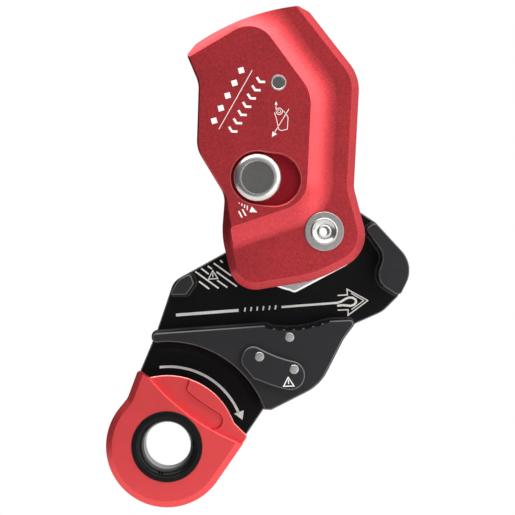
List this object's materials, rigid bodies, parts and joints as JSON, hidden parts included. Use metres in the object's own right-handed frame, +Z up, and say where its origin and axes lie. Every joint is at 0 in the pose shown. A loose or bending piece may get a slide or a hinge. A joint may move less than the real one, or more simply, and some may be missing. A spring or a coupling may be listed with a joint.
{
  "type": "rope grab pulley ascender",
  "caption": "Rope grab and pulley with a swing cover, a steel cam against a fixed jaw, and a hub bore for a connector.",
  "frame": {"origin": "centre of the hub bore, on its axis", "axes": "+Z up in the working plane, +Y along the hub axis to the rear; the front faces -Y"},
  "size_m": [0.1463, 0.0361, 0.2402],
  "materials": {
    "black_anodised": "satin black anodised aluminium",
    "red_anodised": "satin red anodised aluminium",
    "steel": "fine brushed stainless steel",
    "sheave_alloy": "turned aluminium",
    "bronze": "oiled bronze"
  },
  "bodies": {
    "frame": {"back_plate": "black_anodised", "jaw_block": "black_anodised", "left_rope_guide": "black_anodised", "right_rope_guide": "black_anodised", "latch_keeper": "black_anodised", "keeper_rivets": "steel", "jaw_rivet": "steel", "jaw_screws": "steel", "guide_screws": "steel", "pivot_axle": "steel", "pivot_washer": "steel", "rear_washer": "steel", "thrust_washers": "bronze", "cam_stop_pin": "steel", "front_cheek": "red_anodised", "hub_axle": "steel", "front_hub_ring": "black_anodised", "rear_hub_ring": "black_anodised", "hub_spacers": "steel", "bearing_inner_race": "steel"},
    "sheave": {"sheave": "sheave_alloy", "bearing_outer_race": "steel", "bearing_balls": "steel"},
    "cam": {"cam": "steel", "cam_bushing": "bronze", "cam_spring": "steel"},
    "cover": {"swing_cover": "red_anodised", "cover_bushing": "bronze", "latch_pivot_pin": "steel", "latch_spring": "steel", "pawl_detent_spring": "steel"},
    "latch": {"latch_lever": "steel", "latch_button": "steel", "button_rivet": "steel"},
    "pawl": {"latch_pawl": "steel"}
  },
  "joints": [
    {"name": "cover_swing", "type": "hinge", "parent": "frame", "child": "cover", "pos_m": [0.0753, 0, 0.103], "axis": [0, -1, 0], "range_deg": [0, 122]},
    {"name": "cam_swing", "type": "hinge", "parent": "frame", "child": "cam", "pos_m": [0.0753, 0, 0.103], "axis": [0, -1, 0], "range_deg": [0, 38], "stiffness_Nm_per_rad": 0.1, "springref_deg": -28.65},
    {"name": "sheave_spin", "type": "hinge", "parent": "frame", "child": "sheave", "pos_m": [0, 0, 0], "axis": [0, -1, 0], "continuous": true},
    {"name": "latch_release", "type": "hinge", "parent": "cover", "child": "latch", "pos_m": [0.0533, 0, 0.1738], "axis": [0, -1, 0], "range_deg": [0, 10], "stiffness_Nm_per_rad": 0.03, "springref_deg": -20.05},
    {"name": "pawl_throw", "type": "slide", "parent": "cover", "child": "pawl", "axis": [-0.8039, 0, 0.5948], "range_m": [0, 0.004]}
  ]
}
